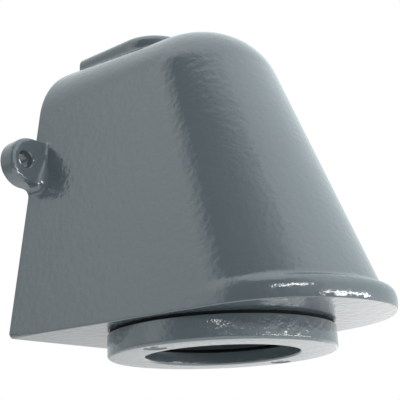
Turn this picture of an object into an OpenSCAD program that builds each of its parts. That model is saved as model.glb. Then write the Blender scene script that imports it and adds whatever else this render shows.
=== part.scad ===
// Outdoor wall downlight: a cast hood on two side lugs, a screwed lens ring
// under it, and a reflector lamp on a bracket inside.
// The origin is midway between the two fixing holes, on the wall face.
// +Z is up, -Y points away from the wall. Millimetres.

/* [Hood] */
// Height of the casting at the wall, from its flat underside to its crown
body_h = 131; // [126:1:136]
// Height of the crown over the nose
nose_h = 128; // [124:0.5:130]
// Width against the wall, measured at the underside
back_w = 112.6; // [111:0.2:114]
// Lean of the side walls from upright, in degrees
side_lean = 7.4; // [7:0.1:7.8]
// Draft of the side walls towards the nose, seen from above, in degrees
plan_draft = 7.7; // [7.3:0.1:8]
// Distance from the wall to the centre of the nose arc at the underside
nose_y = 87.8; // [86:0.2:90]
// How far the nose arc moves back to the wall per millimetre of height
nose_rake = 0.315; // [0.29:0.005:0.34]
// Radius of the arched crown at the wall
crown_r = 36; // [32:0.5:38]
// Radius of the rounding over the nose
nose_crown_r = 30.4; // [27:0.2:32]
// Radius of the edge round the underside
foot_r = 2.6; // [1.5:0.1:3]
// Thickness of the cast walls
wall_t = 4; // [3:0.5:5]
// Thickness of the flat underside
deck_t = 4.5; // [3.5:0.5:6]

/* [Front lip] */
// Outer radius of the lip round the nose
lip_r = 43; // [42.6:0.1:44]
// Height of the lip above the underside
lip_h = 8.5; // [7:0.5:10]
// Distance from the wall to the centre of the lip
lip_y = 91; // [90:0.5:92]

/* [Crown pad] */
// Half width of the raised pad for a conduit
pad_r = 20.5; // [18:0.5:22]
// Distance from the wall to the centre of the pad's round end
pad_y = 31; // [28:0.5:33]
// Height of the pad above the crown
pad_h = 6; // [4:0.5:7]
// Radius of the pad's upper edge
pad_edge = 5; // [3:0.5:6]
// Radius of the threaded conduit entry under its plug
conduit_r = 9.3; // [8:0.1:9.5]

/* [Fixing lugs] */
// Height of the fixing holes above the underside
fix_h = 73.4; // [71:0.1:76]
// Spacing of the two fixing holes
fix_pitch = 112; // [110:0.5:114]
// Radius of a fixing hole
fix_hole_r = 3.4; // [2.8:0.1:3.6]
// Radius of the lug's round end
lug_r = 10.2; // [9.6:0.1:11]
// Thickness of a lug
lug_t = 7.8; // [6.5:0.1:9]

/* [Lens ring] */
// Distance from the wall to the axis of the ring
ring_y = 62; // [61:0.2:63]
// Outer radius of the ring
ring_r = 45; // [44.6:0.1:45.6]
// Height of the ring
ring_h = 8.8; // [8.4:0.1:10]
// Radius of the light opening
aperture_r = 30.4; // [29:0.2:31]
// Height of the ring's inner land under the glass
land_h = 5.3; // [5:0.1:5.5]
// Thickness of the gasket between the ring and the hood
ring_gasket_t = 1.2; // [1:0.1:2]
// Radius of the glass
glass_r = 34; // [33:0.1:34]
// Distance from the ring's axis to each ring screw
ring_screw_x = 38.5; // [38:0.1:38.7]

/* [Lamp] */
// Radius of the reflector lamp
lamp_r = 25; // [24:0.5:25.5]
// Height of the lamp's front edge above the underside
lamp_z = 8; // [7:0.5:9]
// Distance between the two lamp pins
pin_pitch = 10; // [9.8:0.1:10.2]
// Radius of the lamp holder
holder_r = 17; // [16:0.5:18]

/* [Back plate] */
// How far the plate lies behind the wall face
plate_in = 3.2; // [2.9:0.1:3.6]
// Thickness of the plate
plate_t = 2; // [1.5:0.25:2.5]
// Thickness of the plate's gasket
plate_gasket_t = 2; // [1.5:0.25:2.5]
// Radius of the cable entry through the grommet
entry_r = 4; // [3:0.25:5]
// How far the cable entry lies below the crown
entry_drop = 24; // [23:0.5:25]

/* [Hidden] */
$fn = 48;
e = 0.01;

// draft of the sides, as run per millimetre
lean = tan(side_lean);
draft = tan(plan_draft);
// half width of the outside at height z and distance d from the wall
function half_w(z, d) = back_w/2 - lean*z - draft*d;
// nose arc at height z: distance of its centre from the wall, and its radius
function nose_d(z) = nose_y - nose_rake*z;
function nose_r(z) = half_w(z, nose_d(z))*cos(plan_draft);
// heights of the centres of rounding, at the wall and over the nose
crown_z = body_h - crown_r;
nose_z = nose_h - nose_crown_r;
// half distance between the two roundings of the crown at the wall
crown_x = half_w(crown_z, 0) - crown_r/cos(side_lean);
// fall of the ridge from the wall to the nose, in degrees
ridge_a = atan((body_h - nose_h)/nose_d(nose_z));
// half distance between lower corners of radius r, centred at height z, inset by i
function foot_x(r, z, i) = half_w(z, 0) - (r + i)/cos(side_lean);

// levels of the ring stack, counted from the underside of the hood
ring_top = -ring_gasket_t;
ring_bot = ring_top - ring_h;
land_z = ring_bot + land_h;
glass_top = ring_top;
lens_gasket_t = 0.6;
glass_bot = land_z + lens_gasket_t;
deck_open_r = aperture_r + 0.9;
seat_r = glass_r + 0.3;

// ring screws
screw_head_r = 3.9;
screw_head_h = 1.8;
screw_sink = 0.5;
sink_r = 4.5;
screw_r = 2.1;
screw_key_r = 1.7;
screw_len = ring_h + ring_gasket_t + 6.5;

// fixing lugs
lug_x = fix_pitch/2 - 3;
lug_edge = 1.5;

// plug in the conduit entry
plug_head_r = 12.4;
plug_head_h = 4;
plug_len = 12;
plug_key = 7;

// planes of the back plate stack, as distance from the wall
plate_out = plate_in;
plate_back = plate_in + plate_t;
ledge = plate_back + plate_gasket_t;
rim_in = 2.2;
plate_gap = 0.5;
entry_h = body_h - entry_drop;

// back plate screws: two low, two up in the crown
boss_len = 14;
boss_r = 5.5;
ring_boss_r = 5;
ring_boss_h = 6.5;
low_x = half_w(16, ledge + boss_len) - 8.4;
low_z = 16;
high_a = 42;
high_x = crown_x + (crown_r - wall_t - 7.2)*cos(high_a);
high_z = crown_z + (crown_r - wall_t - 7.2)*sin(high_a);
screw_pts = [[low_x, low_z], [-low_x, low_z], [high_x, high_z], [-high_x, high_z]];

// lamp levels
lamp_rim_h = 4;
bowl_h = 26;
neck_r = 12;
neck_h = 6;
taper_h = 5;
cap_r = 9.5;
lamp_wall = 2;
neck_z = lamp_z + bowl_h + 2*lamp_wall;
base_top = neck_z + 16.5;
pin_r = 1.5;
pin_head_r = 2.4;
pin_len = 7.5;
pin_neck = 4.5;
holder_h = 17.5;
holder_step = 8;
holder_screw_y = 12;
holder_screw_r = 1.25;
arm_z = base_top + holder_h;
arm_t = 1.5;
arm_w = 2*holder_r;
flange_top = arm_z + 21;
rivet_z = arm_z + 14;
rivet_x = 10;

// wiring
lead_x = 8;
lead_r = 1.3;
lead_y = plate_back + 5;
lead_z = arm_z + 12;
bend_r = 8;
block_z = 26;
block_h = 20;
block_w = 30;
block_d = 15;
tag_z = 12;

// moves a piece from the hood's own level to the level of the fixing holes
module at_lugs() {
    translate([0, 0, -fix_h])
        children();
}

// moves a piece to the axis of the lens ring
module at_ring() {
    translate([0, -ring_y, 0])
        children();
}

// lies along the depth: the profile's x and y become X and Z, from depth d0 to d1
module depth_extrude(d0, d1) {
    translate([0, -d0, 0])
        rotate([90, 0, 0])
            linear_extrude(height = d1 - d0)
                children();
}

// a rod along the depth
module depth_rod(r, d0, d1, x, z, fn = 48) {
    translate([x, -d0, z])
        rotate([90, 0, 0])
            cylinder(r = r, h = d1 - d0, $fn = fn);
}

// outline of the hood at the wall, inset by i, with lower corners of radius r
module back_outline(i, r) {
    z0 = i + r;
    x0 = foot_x(r, z0, i);
    c = cos(side_lean);
    s = sin(side_lean);
    q = crown_r - i;
    polygon([[x0, z0 - r], [x0 + r*c, z0 + r*s], [crown_x + q*c, crown_z + q*s],
        [crown_x, crown_z + q], [-crown_x, crown_z + q], [-crown_x - q*c, crown_z + q*s],
        [-x0 - r*c, z0 + r*s], [-x0, z0 - r]]);
    for (m = [-1, 1]) {
        translate([m*x0, z0])
            circle(r = r);
        translate([m*crown_x, crown_z])
            circle(r = q);
    }
}

// one smooth solid of the hood: inset i, floor at height z0, back faces at depth d0
module shell_solid(i, z0, r, d0) {
    zc = z0 + r;
    top_r = nose_crown_r - i;
    top_major = max(nose_r(nose_z) - nose_crown_r, 0.5);
    hull() {
        translate([0, -nose_d(zc), zc])
            rotate_extrude($fn = 72)
                translate([nose_r(zc) - r - i, 0])
                    circle(r = r, $fn = 16);
        for (m = [-1, 1]) {
            depth_rod(r, d0, 1, m*foot_x(r, zc, i), zc, 16);
            depth_rod(crown_r - i, d0, 1, m*crown_x, crown_z, 72);
        }
        translate([0, -nose_d(nose_z), nose_z])
            rotate_extrude($fn = 72)
                intersection() {
                    translate([top_major, 0])
                        circle(r = top_r, $fn = 64);
                    translate([0, -top_r])
                        square([top_major + top_r, 2*top_r]);
                }
    }
}

// section of the lip: a flat foot, a small lower edge, a full upper round and a
// hollow fillet that runs up into the front of the nose
module lip_section() {
    upper = lip_h - foot_r;
    ux = lip_r - upper;
    fil = 3;
    slope = nose_rake + (lean - draft*nose_rake)*cos(plan_draft);
    c = cos(atan(slope));
    x0 = nose_d(lip_h) + nose_r(lip_h) - lip_y;
    // centre of the fillet: tangent to the upper round and to the nose
    k = x0 + slope*lip_h + fil/c - ux;
    qa = 1 + slope*slope;
    qb = -2*(slope*k + foot_r);
    qc = k*k + foot_r*foot_r - (upper + fil)*(upper + fil);
    zc = (-qb + sqrt(qb*qb - 4*qa*qc))/(2*qa);
    xc = ux + k - slope*zc;
    n = norm([xc - ux, zc - foot_r]);
    ax = ux + (xc - ux)*upper/n;
    az = foot_r + (zc - foot_r)*upper/n;
    translate([lip_r - foot_r, foot_r])
        circle(r = foot_r);
    translate([20, 0])
        square([lip_r - foot_r - 20, foot_r + e]);
    intersection() {
        translate([ux, foot_r])
            circle(r = upper, $fn = 64);
        translate([0, foot_r])
            square([lip_r, upper]);
    }
    translate([20, foot_r])
        square([ux - 20, upper]);
    difference() {
        polygon([[20, foot_r + 1], [ux, foot_r + 1], [ax, az],
            [xc - fil*c, zc - fil*slope*c], [20, zc - fil*slope*c]]);
        translate([xc, zc])
            circle(r = fil, $fn = 64);
    }
}

// section of the crown pad, from its axis to its rounded shoulder
module pad_section() {
    translate([0, -14])
        square([pad_r, 14 + pad_h - pad_edge]);
    translate([0, pad_h - pad_edge - e])
        square([pad_r - pad_edge, pad_edge + e]);
    intersection() {
        translate([pad_r - pad_edge, pad_h - pad_edge])
            circle(r = pad_edge, $fn = 64);
        translate([0, pad_h - pad_edge - e])
            square([pad_r, pad_edge + e]);
    }
}

// places a piece on the ridge of the crown, which falls towards the nose
module on_ridge(d) {
    translate([0, 0, body_h])
        rotate([ridge_a, 0, 0])
            translate([0, -d, 0])
                children();
}

module pad() {
    intersection() {
        union() {
            on_ridge(pad_y)
                rotate_extrude()
                    pad_section();
            on_ridge(0)
                depth_extrude(-2, pad_y)
                    union() {
                        pad_section();
                        mirror([1, 0])
                            pad_section();
                    }
        }
        translate([-30, -80, body_h - 20])
            cube([60, 80, 40]);
    }
}

// one fixing lug on the +X side, with rounded front edges and a fillet under it
module lug() {
    inner = half_w(fix_h, 0) - 3;
    body_t = lug_t - lug_edge;
    depth_rod(lug_r, 0, body_t, lug_x, fix_h);
    depth_rod(lug_r - lug_edge, 0, lug_t, lug_x, fix_h);
    translate([lug_x, -body_t, fix_h])
        rotate([90, 0, 0])
            rotate_extrude()
                translate([lug_r - lug_edge, 0])
                    circle(r = lug_edge, $fn = 24);
    translate([inner, -body_t, fix_h - lug_r])
        cube([lug_x - inner, body_t, 2*lug_r]);
    translate([inner, -lug_t, fix_h - lug_r + lug_edge])
        cube([lug_x - inner, lug_t, 2*(lug_r - lug_edge)]);
    for (m = [-1, 1])
        translate([inner, -body_t, fix_h + m*(lug_r - lug_edge)])
            rotate([0, 90, 0])
                cylinder(r = lug_edge, h = lug_x - inner, $fn = 24);
    fillet = 3.5;
    x1 = half_w(fix_h - lug_r - fillet, 0) + fillet;
    difference() {
        translate([inner, -body_t, fix_h - lug_r - fillet])
            cube([x1 - inner, body_t, fillet + 1]);
        depth_rod(fillet, -1, lug_t + 1, x1, fix_h - lug_r - fillet);
    }
}

// threaded bosses and pads that stand on the inside of the casting
module inner_bosses() {
    for (m = [-1, 1])
        translate([m*ring_screw_x, -ring_y, 0])
            cylinder(r = ring_boss_r, h = deck_t + ring_boss_h);
    for (p = screw_pts)
        depth_rod(boss_r, plate_back, ledge + boss_len, p[0], p[1]);
    for (m = [-1, 1]) {
        translate([m*(low_x + 6) - 6, -ledge - boss_len, low_z - 2])
            cube([12, boss_len, 4]);
        translate([m*low_x - 2, -ledge - boss_len, deck_t - 1])
            cube([4, boss_len, low_z - deck_t]);
        translate([m*high_x, 0, high_z])
            rotate([0, -m*high_a, 0])
                translate([m > 0 ? 0 : -14, -ledge - boss_len, -2])
                    cube([14, boss_len, 4]);
    }
}

module hood() {
    color("#6f7b80")
        at_lugs()
            difference() {
                union() {
                    difference() {
                        union() {
                            intersection() {
                                shell_solid(0, 0, foot_r, 0);
                                translate([-80, -200, -1])
                                    cube([160, 200, body_h + 20]);
                            }
                            translate([0, -lip_y, 0])
                                rotate_extrude($fn = 96)
                                    lip_section();
                            pad();
                            lug();
                            mirror([1, 0, 0])
                                lug();
                        }
                        shell_solid(wall_t, deck_t, 3, -2);
                        depth_extrude(-1, ledge)
                            back_outline(rim_in, 2);
                    }
                    intersection() {
                        inner_bosses();
                        shell_solid(wall_t/2, deck_t/2, 3, 0);
                    }
                }
                at_ring()
                    translate([0, 0, -1])
                        cylinder(r = deck_open_r, h = deck_t + 2, $fn = 96);
                for (m = [-1, 1]) {
                    depth_rod(fix_hole_r, -1, lug_t + 1, m*fix_pitch/2, fix_h);
                    translate([m*fix_pitch/2, -lug_t + 0.7, fix_h])
                        rotate([90, 0, 0])
                            cylinder(r1 = fix_hole_r, r2 = fix_hole_r + 0.9, h = 0.9);
                    translate([m*ring_screw_x, -ring_y, -1])
                        cylinder(r = 2.1, h = deck_t + 6);
                }
                for (p = screw_pts)
                    depth_rod(1.65, plate_back - 1, ledge + 13, p[0], p[1], 24);
                on_ridge(pad_y) {
                    translate([0, 0, -20])
                        cylinder(r = conduit_r, h = pad_h + 21);
                    translate([0, 0, pad_h - plug_head_h])
                        cylinder(r = plug_head_r + 0.3, h = plug_head_h + 1);
                }
            }
}

// flush stopping plug in the conduit entry, turned with a square key
module entry_plug() {
    color("#2a2d2f")
        at_lugs()
            on_ridge(pad_y)
                translate([0, 0, pad_h])
                difference() {
                    union() {
                        translate([0, 0, -plug_head_h + 1])
                            cylinder(r = plug_head_r, h = plug_head_h - 1);
                        translate([0, 0, -plug_len])
                            cylinder(r = conduit_r, h = plug_len - plug_head_h + 1.1);
                    }
                    translate([-plug_key/2, -plug_key/2, -5])
                        cube([plug_key, plug_key, 6]);
                    translate([0, 0, -plug_len - 1])
                        cylinder(r = conduit_r - 2.2, h = plug_len - 6);
                }
}

module entry_plug_seal() {
    color("#16181a")
        at_lugs()
            on_ridge(pad_y)
                translate([0, 0, pad_h - plug_head_h])
                difference() {
                    cylinder(r = plug_head_r, h = 1);
                    translate([0, 0, -1])
                        cylinder(r = conduit_r, h = 3);
                }
}

// countersunk screw, head face at z = 0, shank upwards
module countersunk(head_r, head_h, shank_r, length, socket_r) {
    difference() {
        union() {
            cylinder(r1 = head_r, r2 = shank_r, h = head_h);
            cylinder(r = shank_r, h = length);
        }
        translate([0, 0, -1])
            cylinder(r = socket_r, h = 1 + head_h*0.7, $fn = 6);
    }
}

// pan head screw along +Z, underside of the head at z = 0, shank downwards
module pan_screw(head_r, head_h, shank_r, length, slot_w) {
    difference() {
        union() {
            cylinder(r = head_r, h = head_h*0.6, $fn = 32);
            translate([0, 0, head_h*0.6])
                cylinder(r1 = head_r, r2 = head_r*0.7, h = head_h*0.4, $fn = 32);
        }
        for (a = [0, 90])
            rotate([0, 0, a])
                translate([-head_r*0.55, -slot_w/2, head_h*0.45])
                    cube([head_r*1.1, slot_w, head_h]);
    }
    translate([0, 0, -length])
        cylinder(r = shank_r, h = length + 0.1, $fn = 32);
}

module lens_ring() {
    edge = 1.3;
    color("#6f7b80")
        at_lugs()
            at_ring()
                difference() {
                    rotate_extrude($fn = 96)
                        difference() {
                            union() {
                                translate([aperture_r, ring_bot])
                                    square([ring_r - edge - aperture_r, ring_h]);
                                translate([aperture_r, ring_bot + edge])
                                    square([ring_r - aperture_r, ring_h - edge]);
                                translate([ring_r - edge, ring_bot + edge])
                                    circle(r = edge, $fn = 24);
                            }
                            translate([aperture_r - 1, land_z])
                                square([seat_r - aperture_r + 1, ring_h]);
                        }
                    translate([0, 0, ring_bot - 1])
                        cylinder(r1 = aperture_r + 1.6, r2 = aperture_r, h = 1.6, $fn = 96);
                    for (m = [-1, 1])
                        translate([m*ring_screw_x, 0, ring_bot]) {
                            translate([0, 0, -1])
                                cylinder(r = 2.7, h = ring_h + 2);
                            translate([0, 0, -0.3])
                                cylinder(r1 = sink_r + 0.3, r2 = sink_r - 2.7, h = 3);
                        }
                }
}

module ring_gasket() {
    color("#16181a")
        at_lugs()
            at_ring()
                difference() {
                    translate([0, 0, -ring_gasket_t])
                        cylinder(r = ring_r - 1, h = ring_gasket_t, $fn = 96);
                    translate([0, 0, -ring_gasket_t - 1])
                        cylinder(r = aperture_r + 0.4, h = ring_gasket_t + 2, $fn = 96);
                    for (m = [-1, 1])
                        translate([m*ring_screw_x, 0, -ring_gasket_t - 1])
                            cylinder(r = 2.7, h = ring_gasket_t + 2);
                }
}

module lens_gasket() {
    color("#16181a")
        at_lugs()
            at_ring()
                difference() {
                    translate([0, 0, land_z])
                        cylinder(r = seat_r - 0.1, h = lens_gasket_t, $fn = 96);
                    translate([0, 0, land_z - 1])
                        cylinder(r = aperture_r + 0.4, h = lens_gasket_t + 2, $fn = 96);
                }
}

module lens_glass() {
    color("#b9c6c8", 0.4)
        at_lugs()
            at_ring()
                translate([0, 0, glass_bot])
                    cylinder(r = glass_r, h = glass_top - glass_bot, $fn = 96);
}

module ring_screws() {
    color("#9a9fa3")
        at_lugs()
            at_ring()
                for (m = [-1, 1])
                    translate([m*ring_screw_x, 0, ring_bot + screw_sink])
                        countersunk(screw_head_r, screw_head_h, screw_r, screw_len, screw_key_r);
}

// bowl of pressed sheet: wide at the front edge, closed at the neck
module lamp_reflector() {
    steps = 6;
    color("#c9cdd0")
        at_lugs()
            at_ring()
                translate([0, 0, lamp_z])
                    rotate_extrude($fn = 72)
                        polygon(concat(
                            [[0, neck_z - lamp_z]],
                            [for (i = [0:steps]) [neck_r + (lamp_r - 1 - neck_r)*sqrt(i/steps),
                                neck_z - lamp_z - (neck_z - lamp_z - lamp_rim_h)*i/steps]],
                            [[lamp_r, lamp_rim_h], [lamp_r, 0], [lamp_r - 1.2, 0],
                                [lamp_r - 1.2, lamp_wall]],
                            [for (i = [0:steps]) [neck_r - 3 + (lamp_r + 1 - neck_r)*sqrt(1 - i/steps),
                                lamp_wall + bowl_h*i/steps]],
                            [[0, lamp_wall + bowl_h]]));
}

module lamp_front_glass() {
    color("#dfe6e8", 0.5)
        at_lugs()
            at_ring()
                translate([0, 0, lamp_z + 0.4])
                    cylinder(r = lamp_r - 1.3, h = 1.6, $fn = 72);
}

module lamp_base() {
    color("#e9e6dc")
        at_lugs()
            at_ring() {
                translate([0, 0, neck_z])
                    cylinder(r = neck_r, h = neck_h);
                translate([0, 0, neck_z + neck_h])
                    cylinder(r1 = neck_r, r2 = cap_r, h = taper_h);
                translate([0, 0, neck_z + neck_h + taper_h])
                    cylinder(r = cap_r, h = base_top - neck_z - neck_h - taper_h);
            }
}

module lamp_pins() {
    color("#c2c5c8")
        at_lugs()
            at_ring()
                for (m = [-1, 1])
                    translate([m*pin_pitch/2, 0, base_top]) {
                        cylinder(r = pin_r, h = pin_neck, $fn = 24);
                        translate([0, 0, pin_neck])
                            cylinder(r = pin_head_r, h = pin_len - pin_neck, $fn = 24);
                    }
}

module lamp_holder() {
    color("#efece2")
        at_lugs()
            at_ring()
                difference() {
                    union() {
                        translate([0, 0, base_top])
                            cylinder(r = holder_r - 2, h = holder_step);
                        translate([0, 0, base_top + holder_step])
                            cylinder(r = holder_r, h = holder_h - holder_step);
                    }
                    for (m = [-1, 1]) {
                        translate([m*pin_pitch/2, 0, base_top - 1])
                            cylinder(r = pin_head_r + 0.2, h = pin_len + 2.5, $fn = 24);
                        translate([m*lead_x, 0, arm_z - 8])
                            cylinder(r = lead_r + 0.05, h = 9, $fn = 24);
                        translate([0, m*holder_screw_y, arm_z - 9])
                            cylinder(r = holder_screw_r, h = 10, $fn = 24);
                    }
                }
}

// folded strip: an arm over the lamp holder and a flange up the back plate
module holder_bracket() {
    color("#b4b8bb")
        at_lugs()
            difference() {
                union() {
                    translate([-arm_w/2, -ring_y, arm_z])
                        cube([arm_w, ring_y - plate_back - arm_t, arm_t]);
                    translate([0, -ring_y, arm_z])
                        cylinder(r = arm_w/2, h = arm_t);
                    translate([-arm_w/2, -plate_back - arm_t, arm_z])
                        cube([arm_w, arm_t, flange_top - arm_z]);
                    for (m = [-1, 1])
                        translate([m*(arm_w/2 - 0.75) - 0.75, -ring_y + 4, arm_z + arm_t - e])
                            cube([1.5, ring_y - plate_back - arm_t - 12, 4]);
                }
                for (m = [-1, 1]) {
                    translate([m*lead_x, -ring_y, arm_z - 1])
                        cylinder(r = 2.2, h = 4, $fn = 24);
                    translate([0, -ring_y + m*holder_screw_y, arm_z - 1])
                        cylinder(r = holder_screw_r + 0.45, h = 4, $fn = 24);
                    translate([m*lead_x, -lead_y, arm_z - 1])
                        cylinder(r = 2.6, h = 4, $fn = 24);
                    depth_rod(2.1, plate_back - 1, plate_back + 4, m*rivet_x, rivet_z, 24);
                }
            }
}

module holder_screws() {
    color("#a9adb0")
        at_lugs()
            at_ring()
                for (m = [-1, 1])
                    translate([0, m*holder_screw_y, arm_z + arm_t])
                        pan_screw(2.8, 2, holder_screw_r, 8, 0.8);
}

// blind rivets: a domed head on the bracket and an upset tail behind the plate
module bracket_rivets() {
    color("#c8ccce")
        at_lugs()
            for (m = [-1, 1])
                translate([m*rivet_x, 0, rivet_z])
                    rotate([90, 0, 0]) {
                        translate([0, 0, plate_out - 1.6])
                            cylinder(r = 2.9, h = 1.6, $fn = 24);
                        translate([0, 0, plate_out - 0.1])
                            cylinder(r = 2, h = plate_t + arm_t + 0.2, $fn = 24);
                        translate([0, 0, plate_back + arm_t])
                            cylinder(r1 = 3.8, r2 = 2.6, h = 1.2, $fn = 24);
                    }
}

module back_plate() {
    color("#a7acaf")
        at_lugs()
            difference() {
                depth_extrude(plate_out, plate_back)
                    back_outline(rim_in + plate_gap, 2);
                for (p = screw_pts)
                    depth_rod(2.25, plate_out - 1, plate_back + 1, p[0], p[1], 24);
                for (m = [-1, 1]) {
                    depth_rod(2.1, plate_out - 1, plate_back + 1, m*rivet_x, rivet_z, 24);
                    depth_rod(1.3, plate_out - 1, plate_back + 1, m*4, block_z + block_h/2, 24);
                }
                depth_rod(entry_r + 3, plate_out - 1, plate_back + 1, 0, entry_h);
                depth_rod(1.65, plate_out - 1, plate_back + 1, 0, tag_z, 24);
            }
}

module back_gasket() {
    color("#16181a")
        at_lugs()
            depth_extrude(plate_back, ledge)
                difference() {
                    back_outline(rim_in + plate_gap, 2);
                    back_outline(wall_t + 1.4, 2);
                }
}

module back_plate_screws() {
    color("#a9adb0")
        at_lugs()
            for (p = screw_pts)
                translate([p[0], -plate_out, p[1]])
                    rotate([-90, 0, 0])
                        pan_screw(3.8, 2.5, 1.65, 14, 1);
}

module cable_grommet() {
    color("#1c1e20")
        at_lugs()
            translate([0, 0, entry_h])
                rotate([90, 0, 0])
                    difference() {
                        union() {
                            translate([0, 0, plate_out - 2])
                                cylinder(r = entry_r + 5, h = 2);
                            translate([0, 0, plate_out - e])
                                cylinder(r = entry_r + 3, h = plate_t + 2*e);
                            translate([0, 0, plate_back])
                                cylinder(r1 = entry_r + 5, r2 = entry_r + 2, h = 4);
                        }
                        translate([0, 0, -1])
                            cylinder(r = entry_r, h = 20);
                    }
}

module terminal_block() {
    zc = block_z + block_h/2;
    color("#e4e0d2")
        at_lugs()
            difference() {
                union() {
                    translate([-block_w/2, -plate_back - 9, block_z])
                        cube([block_w, 9, block_h]);
                    for (m = [-1, 0, 1])
                        translate([m*lead_x - 3.1, -plate_back - block_d, block_z + 1.5])
                            cube([6.2, block_d - 8, block_h - 3]);
                }
                for (m = [-1, 0, 1]) {
                    translate([m*lead_x, -lead_y, block_z - 1])
                        cylinder(r = lead_r + 0.05, h = block_h + 2, $fn = 24);
                    for (k = [-1, 1])
                        depth_rod(1.9, plate_back + 5, plate_back + block_d + 1, m*lead_x,
                            zc + k*5, 24);
                }
                for (m = [-1, 1])
                    depth_rod(1.6, plate_back - 1, plate_back + 10, m*4, zc, 24);
            }
}

module terminal_clamp_screws() {
    zc = block_z + block_h/2;
    color("#c9a44a")
        at_lugs()
            for (m = [-1, 0, 1])
                for (k = [-1, 1])
                    difference() {
                        depth_rod(1.9, lead_y + lead_r, plate_back + block_d - 2.5,
                            m*lead_x, zc + k*5, 24);
                        translate([m*lead_x - 2, -plate_back - block_d, zc + k*5 - 0.35])
                            cube([4, 3.4, 0.7]);
                    }
}

module terminal_block_screws() {
    zc = block_z + block_h/2;
    color("#a9adb0")
        at_lugs()
            for (m = [-1, 1])
                translate([m*4, -plate_back - 9, zc])
                    rotate([90, 0, 0])
                        difference() {
                            union() {
                                cylinder(r = 0.85, h = 0.9, $fn = 24);
                                cylinder(r = 0.85, h = 1.2, $fn = 24);
                                translate([0, 0, -10.5])
                                    cylinder(r = 1.3, h = 11.2, $fn = 24);
                            }
                            translate([-2, -0.25, 0.7])
                                cube([4, 0.5, 2]);
                        }
}

// crimped ring tongue under the earth screw, with a neck cranked out to its barrel
module earth_tag() {
    y0 = plate_back;
    crank = atan2(lead_y - y0 - 1.4, 6);
    color("#c4b27a")
        at_lugs()
            difference() {
                union() {
                    depth_rod(4.2, y0, y0 + 0.8, 0, tag_z, 32);
                    translate([-2, -y0 - 0.8, tag_z])
                        cube([4, 0.8, 4.5]);
                    translate([-2, -y0 - 0.8, tag_z + 4])
                        rotate([crank, 0, 0])
                            cube([4, 0.8, 5]);
                    translate([0, -lead_y, tag_z + 6.6])
                        cylinder(r = 2.1, h = 4.4, $fn = 32);
                }
                depth_rod(2.15, y0 - 1, y0 + 2, 0, tag_z, 24);
                translate([0, -lead_y, tag_z + 7.6])
                    cylinder(r = lead_r, h = 8, $fn = 24);
                translate([-3, -y0 + 0.001, tag_z - 6])
                    cube([6, 4, 20]);
            }
}

module earth_screw() {
    color("#c9a44a")
        at_lugs()
            translate([0, -plate_back - 0.8, tag_z])
                rotate([90, 0, 0])
                    pan_screw(3.6, 2.4, 1.65, 5, 1);
}

// a quarter or part bend of wire in the vertical plane through x
module wire_bend(radius, a0, a1) {
    rotate([90, 0, 90])
        rotate([0, 0, a0])
            rotate_extrude(angle = a1 - a0, $fn = 48)
                translate([radius, 0])
                    circle(r = lead_r, $fn = 24);
}

// from the lamp holder up, over the bracket and down into the terminal block
module lamp_lead(x) {
    y0 = -ring_y;
    y1 = -lead_y;
    translate([x, y0, arm_z - 7])
        cylinder(r = lead_r, h = lead_z - bend_r - arm_z + 7, $fn = 24);
    translate([x, y0 + bend_r, lead_z - bend_r])
        wire_bend(bend_r, 90, 180);
    translate([x, y0 + bend_r, lead_z])
        rotate([-90, 0, 0])
            cylinder(r = lead_r, h = y1 - y0 - 2*bend_r, $fn = 24);
    translate([x, y1 - bend_r, lead_z - bend_r])
        wire_bend(bend_r, 0, 90);
    translate([x, y1, block_z + block_h - 8])
        cylinder(r = lead_r, h = lead_z - bend_r - block_z - block_h + 8, $fn = 24);
}

module lead_live() {
    color("#8a5a3a")
        at_lugs()
            lamp_lead(-lead_x);
}

module lead_neutral() {
    color("#3f6fa8")
        at_lugs()
            lamp_lead(lead_x);
}

// from the block's middle pole straight down to the ring tongue
module lead_earth() {
    color("#7f9a3a")
        at_lugs()
            translate([0, -lead_y, tag_z + 7.6])
                cylinder(r = lead_r, h = block_z + 8 - tag_z - 7.6, $fn = 24);
}

hood();
lens_ring();
ring_gasket();
lens_gasket();
lens_glass();
ring_screws();
lamp_reflector();
lamp_front_glass();
lamp_base();
lamp_pins();
lamp_holder();
holder_bracket();
holder_screws();
bracket_rivets();
back_plate();
back_gasket();
back_plate_screws();
cable_grommet();
terminal_block();
terminal_clamp_screws();
terminal_block_screws();
earth_tag();
earth_screw();
lead_live();
lead_neutral();
lead_earth();
entry_plug();
entry_plug_seal();
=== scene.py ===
"""Outdoor wall light: the painted casting, its lens ring and the looks of every inner piece."""

import math
from contextlib import contextmanager

import bmesh
import bpy
import numpy as np
from bpy.props import FloatProperty, FloatVectorProperty, PointerProperty
from mathutils import Matrix, Vector
from mathutils.bvhtree import BVHTree


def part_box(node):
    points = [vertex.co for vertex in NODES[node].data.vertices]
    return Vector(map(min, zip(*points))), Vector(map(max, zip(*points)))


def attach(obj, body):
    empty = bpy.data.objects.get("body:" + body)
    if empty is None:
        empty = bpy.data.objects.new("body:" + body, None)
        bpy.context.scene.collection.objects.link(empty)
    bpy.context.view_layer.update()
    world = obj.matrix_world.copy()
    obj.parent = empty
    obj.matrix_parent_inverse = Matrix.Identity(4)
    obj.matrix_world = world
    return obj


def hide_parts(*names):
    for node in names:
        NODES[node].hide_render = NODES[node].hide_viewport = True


bl_info = {
    "name": "Outdoor wall light",
    "version": (1, 0, 0),
    "blender": (4, 5, 0),
    "location": "3D View > Sidebar > Wall light",
    "description": "Builds a cast outdoor wall light and its finishes around its packed frame",
    "category": "Object",
}

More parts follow.
